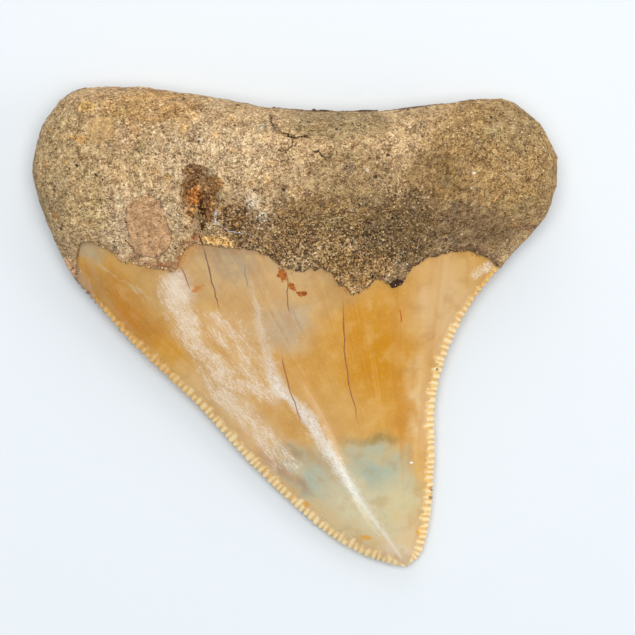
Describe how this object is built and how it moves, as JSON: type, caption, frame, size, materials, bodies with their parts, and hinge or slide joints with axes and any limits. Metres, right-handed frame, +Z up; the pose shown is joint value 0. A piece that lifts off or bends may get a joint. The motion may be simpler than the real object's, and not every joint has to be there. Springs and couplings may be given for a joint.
{
  "type": "megalodon tooth",
  "caption": "Fossil megalodon tooth lying flat, with a rough two-lobed root and a leaning triangular enamel crown with serrated cutting edges.",
  "frame": {"origin": "middle of the tooth's outline box, on the surface it lies on", "axes": "+Z up, out of the tooth's domed inner face, square to the surface it lies on; +X to the right across the two root lobes, with the tip of the crown pointing towards -Y and leaning towards +X"},
  "size_m": [0.08, 0.0736, 0.0175],
  "materials": {
    "fossil_tooth": "glossy amber enamel on the crown, dull sandy brown root"
  },
  "bodies": {
    "root": {"tooth": "fossil_tooth"}
  },
  "joints": []
}
